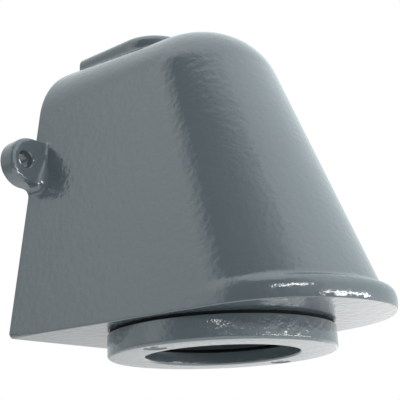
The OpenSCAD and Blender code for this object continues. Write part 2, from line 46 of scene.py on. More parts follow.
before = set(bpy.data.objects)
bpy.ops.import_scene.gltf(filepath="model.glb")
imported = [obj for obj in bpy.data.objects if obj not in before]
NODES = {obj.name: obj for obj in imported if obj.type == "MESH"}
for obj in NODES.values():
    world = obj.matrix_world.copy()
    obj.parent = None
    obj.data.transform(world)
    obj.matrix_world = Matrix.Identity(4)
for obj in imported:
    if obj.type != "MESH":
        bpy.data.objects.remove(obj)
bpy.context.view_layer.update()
MM = 0.001
TINY = 1e-9
QUARTER = math.pi / 2

# Height of the fixing holes above the flat underside of the hood, in millimetres.
FIX_H = 73.4


# ------------------------ sizes and colours


def length(name, description, default, low=0.0, high=0.3):
    """A length property in metres with a plain name and description."""
    return FloatProperty(
        name=name,
        description=description,
        default=default,
        min=low,
        max=high,
        precision=4,
        unit="LENGTH",
        subtype="DISTANCE",
    )


def colour(name, description, default):
    """A colour property in linear red, green and blue."""
    return FloatVectorProperty(
        name=name,
        description=description,
        default=default,
        min=0.0,
        max=1.0,
        size=3,
        subtype="COLOR",
    )


class HoodSizes(bpy.types.PropertyGroup):
    """Sizes of the cast hood, the same as those of its solid."""

    body_height: length("Body height", "Height at the wall, underside to crown", 0.131)
    nose_height: length("Nose height", "Height of the crown over the nose", 0.128)
    back_width: length("Back width", "Width against the wall, at the underside", 0.1126)
    nose_distance: length("Nose distance", "From the wall to the nose arc's centre", 0.0878)
    crown_radius: length("Crown radius", "Radius of the arched crown at the wall", 0.036)
    nose_crown_radius: length("Nose crown radius", "Radius over the nose", 0.0304)
    wall: length("Wall thickness", "Thickness of the cast walls", 0.004)
    deck: length("Underside thickness", "Thickness of the flat underside", 0.0045)
    rim_radius: length("Rim radius", "Radius of the fine edge round the underside", 0.0005)
    corner_radius: length("Corner radius", "Radius of the lower corners at the wall", 0.0024)
    lip_radius: length("Lip radius", "Outer radius of the lip round the nose", 0.043)
    lip_distance: length("Lip distance", "From the wall to the centre of the lip", 0.091)
    lip_equator: length("Lip equator", "Height of the lip's widest line", 0.00345)
    lip_fillet: length("Lip fillet", "Hollow between the lip and the nose", 0.0016)
    pad_radius: length("Pad half width", "Half width of the raised conduit pad", 0.0205)
    pad_distance: length("Pad distance", "From the wall to the pad's round end", 0.031)
    pad_height: length("Pad height", "Height of the pad above the crown", 0.006)
    pad_edge: length("Pad edge", "Radius of the pad's upper edge", 0.005)
    pad_fillet: length("Pad fillet", "Hollow round the foot of the pad", 0.0016)
    lug_pitch: length("Lug hole spacing", "Distance between the two fixing holes", 0.112)
    lug_hole: length("Lug hole radius", "Radius of a fixing hole", 0.0034)
    lug_radius: length("Lug radius", "Radius of a lug's round end", 0.0102)
    lug_thickness: length("Lug thickness", "Thickness of a lug", 0.0078)
    lug_edge: length("Lug edge", "Radius of a lug's front edge", 0.0015)
    skin_step: length("Skin step", "Spacing of the points on the skin", 0.001, 0.0005, 0.003)


class RingSizes(bpy.types.PropertyGroup):
    """Sizes of the lens ring, the same as those of its solid."""

    distance: length("Ring distance", "From the wall to the axis of the ring", 0.062)
    radius: length("Ring radius", "Outer radius of the ring", 0.045)
    height: length("Ring height", "Height of the ring", 0.0088)
    gap: length("Gasket gap", "Thickness of the gasket over the ring", 0.0012)
    aperture: length("Opening radius", "Radius of the light opening", 0.0304)
    land: length("Land height", "Height of the inner land under the glass", 0.0053)
    seat: length("Seat radius", "Radius of the seat of the glass", 0.0343)
    screw: length("Screw distance", "From the ring's axis to each screw", 0.0385)
    edge: length("Ring edge", "Radius of the ring's lower edge", 0.0013)


class FinishColours(bpy.types.PropertyGroup):
    """Colours of the finishes, as linear red, green and blue."""

    paint: colour("Paint", "Gloss powder coat of casting and ring", (0.088, 0.112, 0.125))
    rubber: colour("Rubber", "Gaskets and grommet", (0.008, 0.008, 0.009))
    steel: colour("Stainless steel", "Screws", (0.84, 0.85, 0.86))
    aluminium: colour("Aluminium", "Back plate", (0.55, 0.57, 0.58))
    zinc: colour("Zinc plate", "Lamp bracket", (0.56, 0.58, 0.58))
    brass: colour("Brass", "Terminal screws", (0.62, 0.44, 0.17))
    ceramic: colour("Ceramic", "Lamp base and holder", (0.72, 0.69, 0.6))
    nylon: colour("Nylon", "Stopping plug", (0.02, 0.022, 0.025))


class StageSizes(bpy.types.PropertyGroup):
    """Floor and surroundings."""

    floor_drop: length("Floor drop", "From the fixing holes down to the floor", 0.5, 0.1, 3.0)
    soft_level: FloatProperty(
        name="Ceiling level",
        description="Brightness of the studio above",
        default=1.35,
        min=0,
        max=2,
    )


# ------------------------ shader groups

FLOAT, COLOUR, VECTOR = "NodeSocketFloat", "NodeSocketColor", "NodeSocketVector"


def new_group(name, inputs, outputs):
    """An empty shader group; returns it with its two end nodes."""
    group = bpy.data.node_groups.new(name, "ShaderNodeTree")
    for label, kind, value in inputs:
        socket = group.interface.new_socket(name=label, in_out="INPUT", socket_type=kind)
        if value is not None:
            socket.default_value = value
    for label, kind in outputs:
        group.interface.new_socket(name=label, in_out="OUTPUT", socket_type=kind)
    return group, group.nodes.new("NodeGroupInput"), group.nodes.new("NodeGroupOutput")


class Tree:
    """Short calls for placing and joining nodes in one node tree."""

    def __init__(self, tree):
        self.tree = tree

    def fill(self, node, inputs):
        """Sets or joins each named input of a node."""
        for key, value in inputs.items():
            if isinstance(value, bpy.types.NodeSocket):
                self.tree.links.new(value, node.inputs[key])
            else:
                node.inputs[key].default_value = value
        return node

    def add(self, kind, inputs=None, **settings):
        node = self.tree.nodes.new(kind)
        for key, value in settings.items():
            setattr(node, key, value)
        return self.fill(node, inputs or {})

    def math(self, operation, a, b=0.0, clamp=False):
        node = self.add("ShaderNodeMath", {0: a, 1: b}, operation=operation)
        node.use_clamp = clamp
        return node.outputs[0]

    def span(self, value, low, high, out_low=0.0, out_high=1.0):
        ends = {"From Min": low, "From Max": high, "To Min": out_low, "To Max": out_high}
        return self.add("ShaderNodeMapRange", {"Value": value, **ends}).outputs["Result"]

    def noise(self, place, scale, detail=2.0, rough=0.5):
        inputs = {"Vector": place, "Scale": scale, "Detail": detail, "Roughness": rough}
        return self.add("ShaderNodeTexNoise", inputs).outputs["Fac"]

    def steps(self, value, stops):
        """A line through (degrees, level) stops; the value runs from 0 to 1 for -180 to 180."""
        node = self.add("ShaderNodeValToRGB", {"Fac": value})
        marks = node.color_ramp.elements
        for degrees, _ in stops[1:-1]:
            marks.new(degrees / 360 + 0.5)
        for mark, (_, level) in zip(marks, stops):
            mark.color = (level / 2, level / 2, level / 2, 1)
        return self.math("MULTIPLY", node.outputs["Color"], 2.0)

    def mix(self, factor, a, b):
        """Two numbers mixed by a factor."""
        return self.add("ShaderNodeMix", {0: factor, 2: a, 3: b}, data_type="FLOAT").outputs[0]

    def blend(self, factor, a, b):
        """Two colours mixed by a factor."""
        return self.add("ShaderNodeMix", {0: factor, 6: a, 7: b}, data_type="RGBA").outputs[2]


def make_peel_group():
    """Orange peel of a gloss powder coat: rounded bumps with finer ones between."""
    group, start, end = new_group(
        "Coat peel",
        [
            ("Place", VECTOR, None),
            ("Peel", FLOAT, 520.0),
            ("Fine", FLOAT, 1500.0),
            ("Fine share", FLOAT, 0.2),
        ],
        [("Height", FLOAT)],
    )
    t = Tree(group)
    place = start.outputs["Place"]
    coarse = t.noise(place, start.outputs["Peel"], 1.5, 0.45)
    slow = t.noise(place, t.math("MULTIPLY", start.outputs["Peel"], 0.37), 1.0, 0.5)
    fine = t.noise(place, start.outputs["Fine"], 1.0, 0.5)
    soft = t.math("ADD", t.math("MULTIPLY", coarse, 0.75), t.math("MULTIPLY", slow, 0.6))
    height = t.math("ADD", soft, t.math("MULTIPLY", fine, start.outputs["Fine share"]))
    group.links.new(height, end.inputs["Height"])
    return group


def make_tone_group():
    """Slow drift of a colour and of its roughness over a piece."""
    group, start, end = new_group(
        "Tone drift",
        [
            ("Place", VECTOR, None),
            ("Colour", COLOUR, (0.5, 0.5, 0.5, 1)),
            ("Second colour", COLOUR, (0.4, 0.4, 0.4, 1)),
            ("Scale", FLOAT, 30.0),
            ("Speckle scale", FLOAT, 900.0),
            ("Rough low", FLOAT, 0.3),
            ("Rough high", FLOAT, 0.5),
        ],
        [("Colour", COLOUR), ("Roughness", FLOAT)],
    )
    t = Tree(group)
    given = start.outputs
    drift = t.span(t.noise(given["Place"], given["Scale"], 3.0, 0.55), 0.3, 0.7)
    speckle = t.span(t.noise(given["Place"], given["Speckle scale"], 1.0), 0.35, 0.65)
    weighed = t.math("MULTIPLY", drift, 0.7), t.math("MULTIPLY", speckle, 0.3)
    share = t.math("ADD", *weighed, clamp=True)
    mixed = t.blend(share, given["Colour"], given["Second colour"])
    rough = t.span(share, 0.0, 1.0, given["Rough low"], given["Rough high"])
    group.links.new(mixed, end.inputs["Colour"])
    group.links.new(rough, end.inputs["Roughness"])
    return group


def make_line_group():
    """Fine straight tool or roller lines: noise stretched along one axis."""
    group, start, end = new_group(
        "Tool lines",
        [("Place", VECTOR, None), ("Stretch", VECTOR, (1, 1, 1)), ("Scale", FLOAT, 1500.0)],
        [("Height", FLOAT), ("Shade", FLOAT)],
    )
    t = Tree(group)
    ends = {0: start.outputs["Place"], 1: start.outputs["Stretch"]}
    flat = t.add("ShaderNodeVectorMath", ends, operation="MULTIPLY")
    lines = t.noise(flat.outputs[0], start.outputs["Scale"], 4.0, 0.6)
    group.links.new(lines, end.inputs["Height"])
    group.links.new(t.span(lines, 0.3, 0.7), end.inputs["Shade"])
    return group


def make_grain_group():
    """Fine spark-eroded grain of a moulded or rubber face."""
    group, start, end = new_group(
        "Mould grain",
        [("Place", VECTOR, None), ("Scale", FLOAT, 2600.0)],
        [("Height", FLOAT)],
    )
    t = Tree(group)
    place, scale = start.outputs["Place"], start.outputs["Scale"]
    cells = t.add("ShaderNodeTexVoronoi", {"Vector": place, "Scale": scale})
    fine = t.noise(place, t.math("MULTIPLY", scale, 1.7), 2.0)
    height = t.math("ADD", t.math("MULTIPLY", cells.outputs["Distance"], 0.5), fine)
    group.links.new(height, end.inputs["Height"])
    return group


GROUP_MAKERS = {
    "Coat peel": make_peel_group,
    "Tone drift": make_tone_group,
    "Tool lines": make_line_group,
    "Mould grain": make_grain_group,
}


def use_group(t, name, inputs):
    """Places a shader group, made at its first use, and sets or joins its inputs."""
    group = bpy.data.node_groups.get(name) or GROUP_MAKERS[name]()
    return t.add("ShaderNodeGroup", inputs, node_tree=group)


# ------------------------ materials


def new_material(name):
    """A material with its surface shader and a place in the frame's metres."""
    material = bpy.data.materials.new(name)
    material.use_nodes = True
    t = Tree(material.node_tree)
    surface = material.node_tree.nodes["Principled BSDF"]
    place = t.add("ShaderNodeTexCoord").outputs["Object"]
    return material, t, surface, place


def bump(t, surface, height, depth):
    """Joins a height to the surface's normal; depth is in metres."""
    node = t.add("ShaderNodeBump", {"Height": height, "Distance": depth, "Strength": 1.0})
    t.fill(surface, {"Normal": node.outputs["Normal"]})


def shade(value, by):
    """A colour made lighter or darker, with an alpha of one."""
    return tuple(min(1.0, c * by) for c in value) + (1.0,)


def drifting(t, surface, place, tint, spread, scale, rough, speckle=900.0):
    """Joins a surface to a colour between two shades of a tint, and to its roughness."""
    tone = use_group(
        t,
        "Tone drift",
        {
            "Place": place,
            "Colour": shade(tint, spread[0]),
            "Second colour": shade(tint, spread[1]),
            "Scale": scale,
            "Speckle scale": speckle,
            "Rough low": rough[0],
            "Rough high": rough[1],
        },
    ).outputs
    t.fill(surface, {"Base Color": tone["Colour"], "Roughness": tone["Roughness"]})
    return tone["Colour"]


def gloss_paint(name, tint, peel, fine, depth):
    """Gloss powder coat with its peel."""
    material, t, surface, place = new_material(name)
    drifting(t, surface, place, tint, (0.96, 1.05), 22.0, (0.12, 0.17), 1400.0)
    scales = {"Place": place, "Peel": peel, "Fine": fine, "Fine share": 0.12}
    coat = use_group(t, "Coat peel", scales)
    surface.inputs["IOR"].default_value = 1.85
    bump(t, surface, coat.outputs["Height"], depth)
    return material


def bare_metal(name, tint, stretch, scale, rough, depth=0.000004):
    """Bare or plated metal with fine lines along one way."""
    material, t, surface, place = new_material(name)
    lines = use_group(t, "Tool lines", {"Place": place, "Stretch": stretch, "Scale": scale})
    tone = drifting(t, surface, place, tint, (0.86, 1.08), 60.0, (rough, rough + 0.14))
    worn = t.math("MULTIPLY", lines.outputs["Shade"], 0.35)
    t.fill(surface, {"Base Color": t.blend(worn, tone, shade(tint, 0.72)), "Metallic": 1.0})
    bump(t, surface, lines.outputs["Height"], depth)
    return material


def moulded(name, tint, rough, grain=2600.0, depth=0.00001, ior=1.5):
    """Moulded plastic, rubber or unglazed ceramic with a fine grain."""
    material, t, surface, place = new_material(name)
    drifting(t, surface, place, tint, (0.9, 1.1), 45.0, (rough, rough + 0.12), 1800.0)
    grained = use_group(t, "Mould grain", {"Place": place, "Scale": grain})
    surface.inputs["IOR"].default_value = ior
    bump(t, surface, grained.outputs["Height"], depth)
    return material


def clear_glass(name, tint, gleam=0.5):
    """Clear glass with a faint surface waviness."""
    material, t, surface, place = new_material(name)
    drifting(t, surface, place, tint, (1.0, 0.94), 40.0, (0.02, 0.04))
    t.fill(surface, {"Transmission Weight": 1.0, "IOR": 1.5, "Specular IOR Level": gleam})
    bump(t, surface, t.noise(place, 60.0, 1.0), 0.000004)
    return material


def earth_sleeve(name):
    """Green sleeve with two yellow stripes along the lead."""
    material, t, surface, place = new_material(name)
    centre = sum(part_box("lead_earth"), Vector()) / 2
    half_stripe = 0.00055
    split = t.add("ShaderNodeSeparateXYZ", {"Vector": place})
    x = t.math("SUBTRACT", split.outputs["X"], centre.x)
    stripe = t.math("LESS_THAN", t.math("ABSOLUTE", x), half_stripe)
    tint = t.blend(stripe, (0.03, 0.22, 0.04, 1), (0.75, 0.62, 0.03, 1))
    grain = use_group(t, "Mould grain", {"Place": place, "Scale": 3200.0})
    t.fill(surface, {"Base Color": tint, "Roughness": 0.45})
    bump(t, surface, grain.outputs["Height"], 0.000006)
    return material


# ------------------------ mesh helpers


@contextmanager
def mesh_edit(mesh):
    """An edit of a mesh that is written back at its end."""
    edit = bmesh.new()
    edit.from_mesh(mesh)
    yield edit
    edit.to_mesh(mesh)
    edit.free()


def link_mesh(name, mesh):
    """A new object for a mesh, in the scene."""
    piece = bpy.data.objects.new(name, mesh)
    bpy.context.scene.collection.objects.link(piece)
    return piece


def mesh_from(name, points, faces):
    """A mesh from points and faces."""
    mesh = bpy.data.meshes.new(name)
    mesh.from_pydata([tuple(p) for p in points], [], faces)
    mesh.update()
    return mesh


def settle(piece):
    """Writes a piece's modifiers into its mesh."""
    depsgraph = bpy.context.evaluated_depsgraph_get()
    mesh = bpy.data.meshes.new_from_object(piece.evaluated_get(depsgraph))
    old = piece.data
    piece.modifiers.clear()
    piece.data = mesh
    bpy.data.meshes.remove(old)


def cut(piece, tools, operation="DIFFERENCE"):
    """Cuts away or joins helper pieces, then removes them."""
    for tool in tools:
        step = piece.modifiers.new("cut", "BOOLEAN")
        step.operation = operation
        step.solver = "MANIFOLD"
        step.object = tool
    settle(piece)
    for tool in tools:
        mesh = tool.data
        bpy.data.objects.remove(tool)
        bpy.data.meshes.remove(mesh)


def arc(centre, r, start, stop, steps):
    """Points on an arc round a centre, between two angles."""
    for k in range(steps + 1):
        a = start + (stop - start) * k / steps
        yield centre[0] + r * math.cos(a), centre[1] + r * math.sin(a)


def circle(centre, r, steps):
    """Points on a whole circle, none of them twice."""
    return list(arc(centre, r, 0, 2 * math.pi, steps))[:-1]


def lathe(name, profile, centre, steps=144, axis="Z"):
    """A closed solid turned from (radius, height) points about an upright or a depth axis."""
    points, faces = [], []
    count = len(profile)
    for k in range(steps):
        a = 2 * math.pi * k / steps
        j = (k + 1) % steps
        for i, (r, h) in enumerate(profile):
            p = (r * math.cos(a), r * math.sin(a), h)
            points.append(Vector(p if axis == "Z" else (p[0], -p[2], p[1])) + Vector(centre))
            n = (i + 1) % count
            faces.append((k * count + i, j * count + i, j * count + n, k * count + n))
    mesh = mesh_from(name, points, faces)
    with mesh_edit(mesh) as edit:
        bmesh.ops.remove_doubles(edit, verts=edit.verts, dist=1e-7)
        bmesh.ops.recalc_face_normals(edit, faces=edit.faces)
    return link_mesh(name, mesh)


def rod(name, r, low, high, centre, axis="Z", steps=64):
    """A plain rod between two heights on its axis."""
    return lathe(name, [(0, low), (r, low), (r, high), (0, high)], centre, steps, axis)


def hull_of(name, points):
    """The convex solid round a set of points."""
    mesh = bpy.data.meshes.new(name)
    with mesh_edit(mesh) as edit:
        for p in points:
            edit.verts.new(p)
        out = bmesh.ops.convex_hull(edit, input=edit.verts)
        spare = {
            e
            for key in ("geom_interior", "geom_unused")
            for e in out[key]
            if isinstance(e, bmesh.types.BMVert)
        }
        bmesh.ops.delete(edit, geom=list(spare), context="VERTS")
        bmesh.ops.recalc_face_normals(edit, faces=edit.faces)
    mesh.shade_smooth()
    return link_mesh(name, mesh)


def slice_off(edit, place, way, **side):
    """Cuts a mesh along a plane and clears the named side, which leaves it open."""
    everything = edit.verts[:] + edit.edges[:] + edit.faces[:]
    bmesh.ops.bisect_plane(edit, geom=everything, plane_co=place, plane_no=way, **side)


def close_up(edit):
    """Fills the open edges and turns all faces outwards."""
    bmesh.ops.holes_fill(edit, edges=[e for e in edit.edges if e.is_boundary], sides=0)
    bmesh.ops.recalc_face_normals(edit, faces=edit.faces)


def smooth_faces(piece, degrees):
    """Smooth shading, kept sharp where faces meet at more than that angle."""
    mesh = piece.data
    mesh.shade_smooth()
    mesh.set_sharp_from_angle(angle=math.radians(degrees))


def mesh_points(mesh, key="co"):
    """Places or normals of a mesh's points, as rows."""
    rows = np.empty(len(mesh.vertices) * 3)
    mesh.vertices.foreach_get(key, rows)
    return rows.reshape(-1, 3)


def unit(rows):
    """Rows made one long."""
    return rows / np.maximum(np.linalg.norm(rows, axis=1), TINY)[:, None]


def coat_piece(piece, material):
    """Gives a piece one material."""
    piece.data.materials.clear()
    piece.data.materials.append(material)


# ------------------------ the form of the hood

# The hood is worked out in millimetres from its underside at the wall.
SIDE_LEAN = math.radians(7.4)
PLAN_DRAFT = math.radians(7.7)
# How far the nose arc moves back to the wall per millimetre of height.
NOSE_RAKE = 0.315
# How far the forms reach under the underside, and behind the wall, before they are cut.
OVER = 3.0
BEHIND = 4.0
# The lip's section as arcs of (radius, first angle), from its foot up.
LIP_ARCS = ((13.5, -0.4), (5.7, math.radians(4)), (3.45, math.radians(28)))
# From the fixing hole back to the centre of the lug's round end.
LUG_SETBACK = 3.0
# Hollow over a lug, and how much more there is under it.
LUG_FILLET = 0.9
LUG_LOWER_FILLET = 2.6
# Lower edges of the uncut body and of the hollow inside.
BODY_EDGE = 0.6
HOLLOW_EDGE = 3.0
# Points of a cut edge that lie closer than this are joined.
SLIVER = 0.3


class HoodForm:
    """The hood's shapes, as points for hulls and as distances."""

    def __init__(self, sizes):
        self.s = s = {k: getattr(sizes, k) / MM for k in sizes.__annotations__}
        self.lean, self.draft = math.tan(SIDE_LEAN), math.tan(PLAN_DRAFT)
        self.crown_z = s["body_height"] - s["crown_radius"]
        self.nose_z = s["nose_height"] - s["nose_crown_radius"]
        self.crown_x = self.half_w(self.crown_z, 0) - s["crown_radius"] / math.cos(SIDE_LEAN)
        fall = (s["body_height"] - s["nose_height"]) / self.nose_d(self.nose_z)
        self.ridge = math.atan(fall)
        self.arcs = self.lip_arcs()

    def half_w(self, z, d):
        """Half the width at a height and a depth."""
        return self.s["back_width"] / 2 - self.lean * z - self.draft * d

    def nose_d(self, z):
        """Distance from the wall to the nose arc's centre at a height."""
        return self.s["nose_distance"] - NOSE_RAKE * z

    def nose_r(self, z):
        """Radius of the nose arc at a height."""
        return self.half_w(z, self.nose_d(z)) * math.cos(PLAN_DRAFT)

    def foot_x(self, r, z, inset):
        """Where the centre of a lower corner of radius r lies at the wall."""
        return self.half_w(z, 0) - (r + inset) / math.cos(SIDE_LEAN)

    def shell_points(self, inset, floor, r, depths, fine=1.0):
        """Points whose hull is the hood at that inset: two tori and two rods on each side."""
        s, points = self.s, []
        zc, top_r = floor + r, s["nose_crown_radius"] - inset
        turn, rings = int(180 * fine), int(90 * fine)
        low = [2 * math.pi * m / 24 for m in range(24)]
        high = [math.pi * (m / rings - 0.5) for m in range(rings + 1)]
        top_major = max(self.nose_r(self.nose_z) - s["nose_crown_radius"], 0.5)
        for major, radius, z, angles in (
            (self.nose_r(zc) - r - inset, r, zc, low),
            (top_major, top_r, self.nose_z, high),
        ):
            for k in range(turn):
                a = 2 * math.pi * k / turn
                for b in angles:
                    q = major + radius * math.cos(b)
                    y = q * math.sin(a) - self.nose_d(z)
                    points.append((q * math.cos(a), y, z + radius * math.sin(b)))
        for side in (-1, 1):
            for radius, x, z, steps in (
                (r, self.foot_x(r, zc, inset), zc, 32),
                (s["crown_radius"] - inset, self.crown_x, self.crown_z, int(240 * fine)),
            ):
                for px, pz in circle((side * x, z), radius, steps):
                    points += [(px, -d, pz) for d in depths]
        return points

    def lip_arcs(self):
        """The lip's arcs as (centre radius, centre height, radius, first angle)."""
        r, _ = LIP_ARCS[0]
        x, z = self.s["lip_radius"] - r, self.s["lip_equator"]
        arcs = []
        for radius, start in LIP_ARCS:
            x += (r - radius) * math.cos(start)
            z += (r - radius) * math.sin(start)
            r = radius
            arcs.append((x, z, r, start))
        return arcs

    def lip_profile(self):
        """The lip's section as (radius, height) points from its axis and back to it."""
        ends = [start for _, start in LIP_ARCS[1:]] + [QUARTER]
        points = [(0, -OVER)]
        for (x, z, r, start), end in zip(self.arcs, ends):
            points += arc((x, z), r, start, end, 8)
        return points + [(0, points[-1][1])]

    def lip(self, p):
        """Distance to the lip's turned body, and its outward direction."""
        v = p - np.array([0, -self.s["lip_distance"], 0])
        rho = np.maximum(np.hypot(v[:, 0], v[:, 1]), TINY)
        f, out, up = np.zeros((3, len(p)))
        for k, (x, z, r, start) in enumerate(self.arcs):
            dr, dz = rho - x, p[:, 2] - z
            if k == len(self.arcs) - 1:
                dr = np.maximum(dr, 0)
            size = np.maximum(np.hypot(dr, dz), TINY)
            here = (k == 0) | (np.arctan2(dz, dr) >= start)
            f = np.where(here, size - r, f)
            out = np.where(here, dr / size, out)
            up = np.where(here, dz / size, up)
        return f, np.column_stack([v[:, :2] / rho[:, None] * out[:, None], up])

    def pad(self, p):
        """Distance to the raised pad on the ridge of the crown."""
        s = self.s
        c, n = math.cos(self.ridge), math.sin(self.ridge)
        q = p - np.array([0, 0, s["body_height"]])
        y, z = q[:, 1] * c + q[:, 2] * n, -q[:, 1] * n + q[:, 2] * c
        x = q[:, 0]
        dy = np.minimum(y + s["pad_distance"], 0)
        flat = np.maximum(np.hypot(x, dy), TINY)
        e = s["pad_edge"]
        f, ga, gb = rounded(flat - s["pad_radius"] + e, z - s["pad_height"] + e, e)
        gx, gy, gz = ga * x / flat, ga * dy / flat, gb
        return f, np.column_stack([gx, gy * c - gz * n, gy * n + gz * c])

    def lugs(self, p):
        """Distance to the two fixing lugs."""
        s = self.s
        e = s["lug_edge"]
        over = np.maximum(np.abs(p[:, 0]) - (s["lug_pitch"] / 2 - LUG_SETBACK), 0)
        dz = p[:, 2] - FIX_H
        flat = np.maximum(np.hypot(over, dz), TINY)
        f, ga, gb = rounded(flat - s["lug_radius"] + e, -p[:, 1] - s["lug_thickness"] + e, e)
        return f, np.column_stack([ga * over / flat * np.sign(p[:, 0]), -gb, ga * dz / flat])

    def rim(self, y):
        """Radius of the lower edge at a depth: largest at the wall, fine from there on."""
        fine, corner, reach = self.s["rim_radius"], self.s["corner_radius"], 18.0
        return fine + (corner - fine) * np.clip(1 + y / reach, 0, 1) ** 2


def rounded(a, b, edge):
    """Distance to a corner between two faces with a rounded edge, and its two slopes."""
    pa, pb = np.maximum(a, 0), np.maximum(b, 0)
    out = np.hypot(pa, pb)
    inside = np.maximum(a, b) < 0
    f = np.where(inside, np.maximum(a, b), out) - edge
    ga = np.where(inside, (a >= b).astype(float), pa / np.maximum(out, TINY))
    gb = np.where(inside, (a < b).astype(float), pb / np.maximum(out, TINY))
    return f, ga, gb


def fillet_join(fa, na, fb, nb, r):
    """Joins two shapes with a hollow fillet of radius r between them."""
    u, v = np.maximum(r - fa, 0), np.maximum(r - fb, 0)
    size = np.maximum(np.hypot(u, v), TINY)
    both = (u > 0) & (v > 0)
    nearest = np.minimum(fa, fb)
    f = np.where(both, np.maximum(r, nearest) - size, nearest)
    hollow = (u / size)[:, None] * na + (v / size)[:, None] * nb
    n = np.where(both[:, None], hollow, np.where((fa <= fb)[:, None], na, nb))
    return f, unit(n)


class BodyDistance:
    """Signed distance to a smooth convex mesh, with normals blended over each face."""

    def __init__(self, mesh):
        mesh.calc_loop_triangles()
        self.points, self.normals = mesh_points(mesh), mesh_points(mesh, "normal")
        self.triangles = np.array([t.vertices[:] for t in mesh.loop_triangles])
        self.tree = BVHTree.FromPolygons(self.points.tolist(), self.triangles.tolist())

    def __call__(self, p):
        near, index = np.empty_like(p), np.empty(len(p), int)
        for k, q in enumerate(p.tolist()):
            spot, _, index[k], _ = self.tree.find_nearest(q)
            near[k] = spot
        corners = self.points[self.triangles[index]]
        ab, ac = corners[:, 1] - corners[:, 0], corners[:, 2] - corners[:, 0]
        ap = near - corners[:, 0]
        d00, d01, d11 = (ab * ab).sum(1), (ab * ac).sum(1), (ac * ac).sum(1)
        d20, d21 = (ap * ab).sum(1), (ap * ac).sum(1)
        den = np.maximum(d00 * d11 - d01 * d01, TINY**2)
        v = np.clip((d11 * d20 - d01 * d21) / den, 0, 1)
        w = np.clip((d00 * d21 - d01 * d20) / den, 0, 1)
        share = np.column_stack([1 - v - w, v, w])
        n = unit((self.normals[self.triangles[index]] * share[:, :, None]).sum(1))
        return ((p - near) * n).sum(1), n


def hood_distance(form, body, p):
    """Distance to the whole cast skin and its direction, fillets included."""
    s = form.s
    pad_reach, far = 25.0, 99.0
    f, n = fillet_join(*body(p), *form.lip(p), s["lip_fillet"])
    pad, pad_n = form.pad(p)
    pad = np.where(p[:, 2] > s["body_height"] - pad_reach, pad, far)
    f, n = fillet_join(f, n, pad, pad_n, s["pad_fillet"])
    low = np.clip((FIX_H + 2 - p[:, 2]) / 8, 0, 1)
    return fillet_join(f, n, *form.lugs(p), LUG_FILLET + LUG_LOWER_FILLET * low)


# ------------------------ the skin of the hood


def pad_form(form):
    """The pad as a prism with a rounded upper edge, laid along the crown's ridge."""
    s = form.s
    r, top, edge = s["pad_radius"], s["pad_height"], s["pad_edge"]
    outline = [(x, -y) for x, y in arc((0, s["pad_distance"]), r, 0, math.pi, 48)]
    outline += [(-r, 5), (r, 5)]
    levels = [(0, -14)]
    for k in range(5):
        b = math.pi * k / 8
        levels.append((edge * (1 - math.cos(b)), top - edge * (1 - math.sin(b))))
    turn = Matrix.Rotation(form.ridge, 3, "X")
    lift = Vector((0, 0, s["body_height"]))
    points = []
    for inset, z in levels:
        share = (r - inset) / r
        for x, y in outline:
            if y <= 0:
                y = -s["pad_distance"] + (y + s["pad_distance"]) * share
            points.append(turn @ Vector((x * share, y, z)) + lift)
    count = len(outline)
    faces = [tuple(range(count)), tuple(range(len(points) - 1, len(points) - 1 - count, -1))]
    for i in range(len(levels) - 1):
        for k in range(count):
            a, b = i * count + k, i * count + (k + 1) % count
            faces.append((a, a + count, b + count, b))
    return link_mesh("pad form", mesh_from("pad form", points, faces))


def lug_form(form, side):
    """One fixing lug with its front edge rounded."""
    s = form.s
    depth, edge, fine, root = s["lug_thickness"], s["lug_edge"], 0.45, 30
    centre = (s["lug_pitch"] / 2 - LUG_SETBACK, FIX_H)
    points = []
    for inset, d in ((0, -BEHIND), (0, depth - edge), (fine, depth - fine), (edge, depth)):
        r = s["lug_radius"] - inset
        outline = [*arc(centre, r, -QUARTER, QUARTER, 32)]
        outline += [(root, FIX_H - r), (root, FIX_H + r)]
        points += [(side * x, -d, z) for x, z in outline]
    return hull_of("lug form", points)


def cast_skin(form):
    """The closed outer skin, reaching behind the wall face, in millimetres."""
    skin = hull_of("body form", form.shell_points(0, -OVER, BODY_EDGE, (-BEHIND, 1)))
    measure = BodyDistance(skin.data)
    centre = (0, -form.s["lip_distance"], 0)
    lip = lathe("lip form", form.lip_profile(), centre, 240)
    parts = [lip, pad_form(form), lug_form(form, -1), lug_form(form, 1)]
    for part in (skin, *parts):
        with mesh_edit(part.data) as edit:
            bmesh.ops.recalc_face_normals(edit, faces=edit.faces)
    cut(skin, parts, "UNION")
    remesh = skin.modifiers.new("skin", "REMESH")
    remesh.mode = "VOXEL"
    remesh.voxel_size = form.s["skin_step"]
    settle(skin)
    p = mesh_points(skin.data)
    hidden = p[:, 1] > BEHIND - 1.5
    for _ in range(3):
        f, n = hood_distance(form, measure, p)
        f[hidden] = 0
        p = p - np.clip(f, -1, 1)[:, None] * n
    r = form.rim(p[:, 1])
    drop = np.clip((r - p[:, 2]) / r, 0, 1)
    p -= unit(n * np.array([1.0, 1.0, 0.0])) * (r - r * np.sqrt(1 - drop * drop))[:, None]
    skin.data.vertices.foreach_set("co", p.ravel())
    skin.data.update()
    close_underside(form, skin, measure)
    return skin


